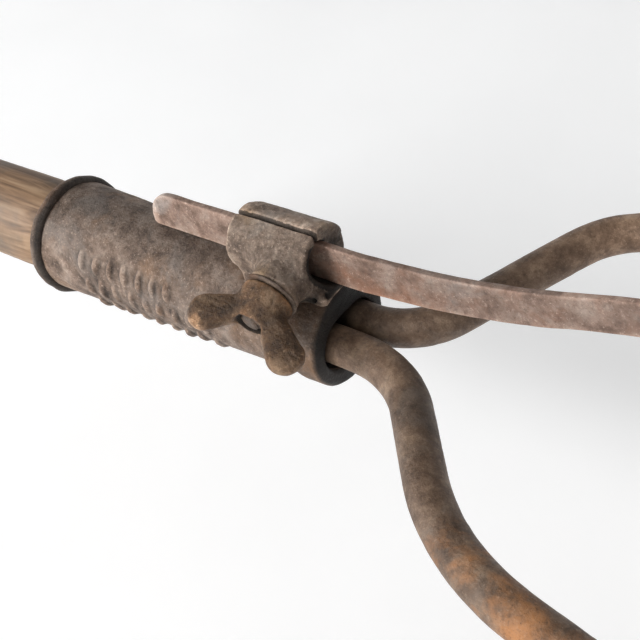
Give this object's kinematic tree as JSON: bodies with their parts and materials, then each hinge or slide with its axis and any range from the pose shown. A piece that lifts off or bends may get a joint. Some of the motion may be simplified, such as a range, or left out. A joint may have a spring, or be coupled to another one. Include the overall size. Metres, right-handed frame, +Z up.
{
  "type": "hand garden cultivator",
  "caption": "Hand cultivator with a cast socket, outer rod tines and a flat middle tine that slides in a clip and locks with a wing-headed thumb screw.",
  "frame": {"origin": "on the axis of the straight wooden grip, 158 mm behind the tine end of the socket", "axes": "+X along the handle towards the tines, +Z up, -Y on the thumb screw's side"},
  "size_m": [0.4145, 0.1597, 0.1405],
  "materials": {
    "iron_socket": "rusted casting",
    "iron_clip": "rusted casting",
    "iron_wing": "rusted casting",
    "steel_rod": "rusted",
    "steel_bar": "rusted",
    "steel_small": "rusted",
    "steel_shovel": "rusted and soil-worn",
    "wood_handle": "worn ash"
  },
  "bodies": {
    "socket_group": {"socket": "iron_socket", "mouth_band": "steel_small", "handle": "wood_handle", "socket_nails": "steel_small", "tine_wedge": "steel_small", "left_tine": "steel_rod", "right_tine": "steel_rod", "left_shovel": "steel_shovel", "right_shovel": "steel_shovel", "left_rivets": "steel_small", "right_rivets": "steel_small", "clip": "iron_clip"},
    "middle_group": {"middle_tine": "steel_bar", "middle_shovel": "steel_shovel", "middle_rivets": "steel_small"},
    "washer_ring": {"washer": "steel_small"},
    "thumb_screw": {"wing_head": "iron_wing", "clamp_screw": "steel_small"}
  },
  "joints": [
    {"name": "middle_tine_slide", "type": "slide", "parent": "socket_group", "child": "middle_group", "axis": [1, 0, 0], "range_m": [-0.006, 0.02]},
    {"name": "screw_travel", "type": "slide", "parent": "socket_group", "child": "washer_ring", "axis": [0, -0.9659, -0.2588], "range_m": [0, 0.00255]},
    {"name": "wing_turn", "type": "hinge", "parent": "washer_ring", "child": "thumb_screw", "pos_m": [0.1462, -0.0133, 0.01772], "axis": [0, -0.9659, -0.2588], "range_deg": [0, 720]}
  ],
  "couplings": [
    {"joint": "screw_travel", "follows": "wing_turn", "m_per_rad": 0.00020213}
  ]
}
